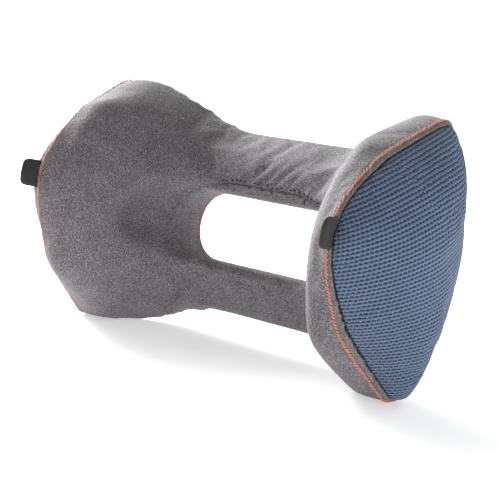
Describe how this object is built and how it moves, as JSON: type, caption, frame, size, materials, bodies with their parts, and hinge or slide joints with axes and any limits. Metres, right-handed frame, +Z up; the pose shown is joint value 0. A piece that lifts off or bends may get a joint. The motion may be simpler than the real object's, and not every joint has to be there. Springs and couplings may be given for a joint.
{
  "type": "lumbar support cushion",
  "caption": "Lumbar cushion with two forward lobes and a slotted waist: grey knit cover, blue mesh ends and back, orange stitching, side tabs and a rear zip.",
  "frame": {"origin": "on the surface the cushion stands on, under the middle of its bounding box", "axes": "+X from the left lobe to the right lobe, +Y towards the chair back, +Z up; the cushion stands leaned back by 14 degrees"},
  "size_m": [0.4862, 0.1756, 0.2247],
  "materials": {
    "foam": "open-cell memory foam",
    "knit": "heather knit",
    "mesh": "spacer air mesh",
    "thread": "twisted thread",
    "webbing": "woven webbing and tape",
    "zip_coil": "nylon coil",
    "zip_metal": "gunmetal"
  },
  "bodies": {
    "cushion": {"foam_core": "foam", "front_cover": "knit", "slot_lining": "knit", "back_panel": "mesh", "left_end_panel": "mesh", "right_end_panel": "mesh", "left_topstitch": "thread", "right_topstitch": "thread", "upper_back_topstitch": "thread", "lower_back_topstitch": "thread", "slot_topstitch": "thread", "left_tab": "webbing", "right_tab": "webbing", "upper_zip_tape": "webbing", "lower_zip_tape": "webbing", "upper_zip_coil": "zip_coil", "lower_zip_coil": "zip_coil", "zip_closed_stop": "zip_metal", "zip_open_stop": "zip_metal"},
    "slider": {"zip_slider": "zip_metal"},
    "pull": {"zip_pull": "zip_metal"}
  },
  "joints": [
    {"name": "zip_slide", "type": "slide", "parent": "cushion", "child": "slider", "axis": [-1, 0, 0], "range_m": [0, 0.167]},
    {"name": "pull_hinge", "type": "hinge", "parent": "slider", "child": "pull", "pos_m": [0.0828, 0.0555, 0.04341], "axis": [0, -0.2419, -0.9703], "range_deg": [0, 175]}
  ]
}
